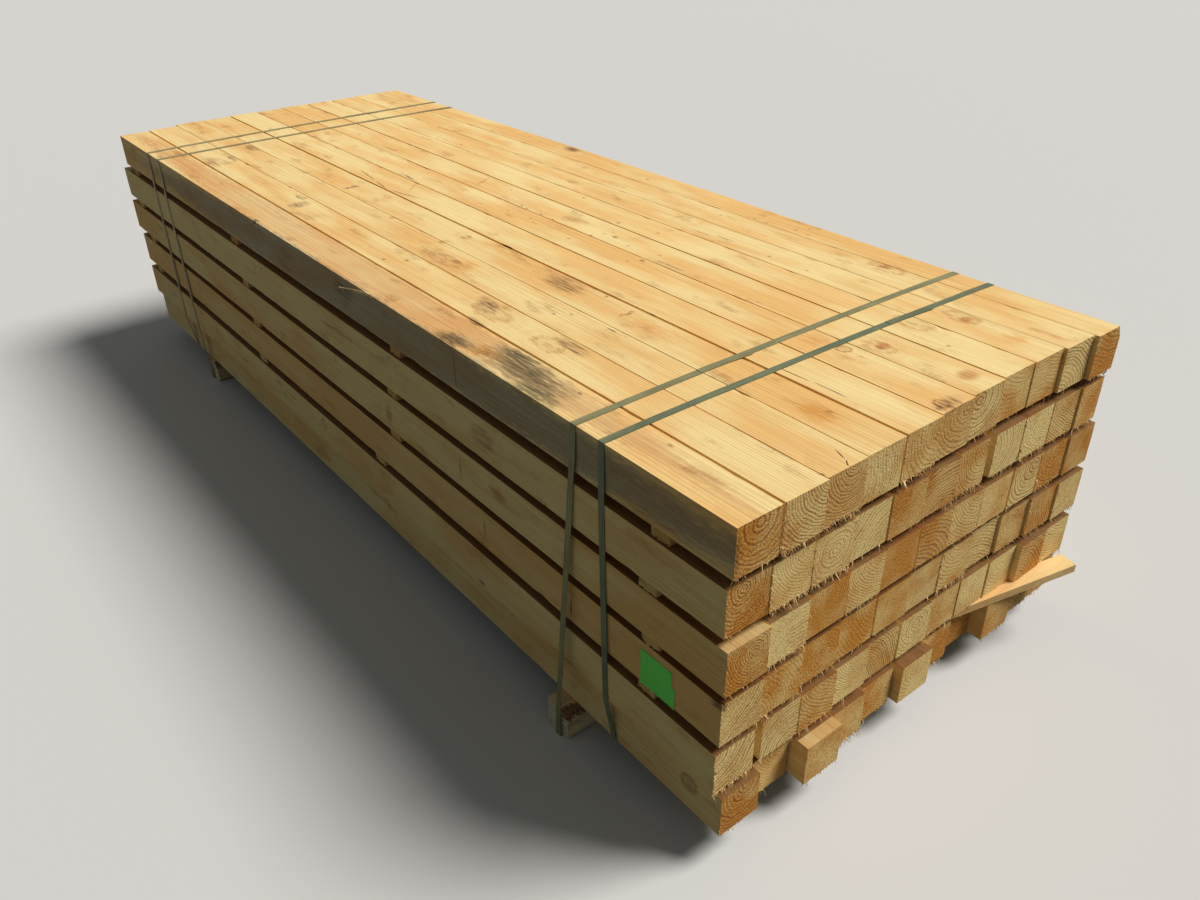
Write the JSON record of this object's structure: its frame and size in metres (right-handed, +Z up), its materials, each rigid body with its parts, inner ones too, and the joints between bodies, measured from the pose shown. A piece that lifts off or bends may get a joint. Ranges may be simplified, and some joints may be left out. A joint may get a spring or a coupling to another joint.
{
  "type": "strapped stack of timber posts",
  "caption": "Pack of square sawn softwood posts in layers with spacer laths between them, tied by plastic straps on two rough bearers.",
  "frame": {"origin": "on the floor, below the middle of the whole pack's box", "axes": "+X along the posts towards their near end, +Y across the pack to its right side, +Z up"},
  "size_m": [3.0844, 1.1484, 0.7618],
  "materials": {
    "sawn_softwood": "rough sawn, uncoated",
    "lath_wood": "rough sawn, uncoated",
    "bearer_wood": "rough sawn, with bark on one edge",
    "strap_plastic": "embossed strapping band",
    "sticker_paper": "blank coated paper"
  },
  "bodies": {
    "root": {"posts_layer_1": "sawn_softwood", "posts_layer_2": "sawn_softwood", "posts_layer_3": "sawn_softwood", "posts_layer_4": "sawn_softwood", "posts_layer_5": "sawn_softwood", "posts_layer_6": "sawn_softwood", "spacer_laths_1": "lath_wood", "spacer_laths_2": "lath_wood", "spacer_laths_3": "lath_wood", "spacer_laths_4": "lath_wood", "spacer_laths_5": "lath_wood", "bearer_near": "bearer_wood", "bearer_far": "bearer_wood", "strap_near_bearer": "strap_plastic", "strap_near_posts": "strap_plastic", "strap_far_posts": "strap_plastic", "strap_far_bearer": "strap_plastic", "sticker": "sticker_paper"}
  },
  "joints": []
}
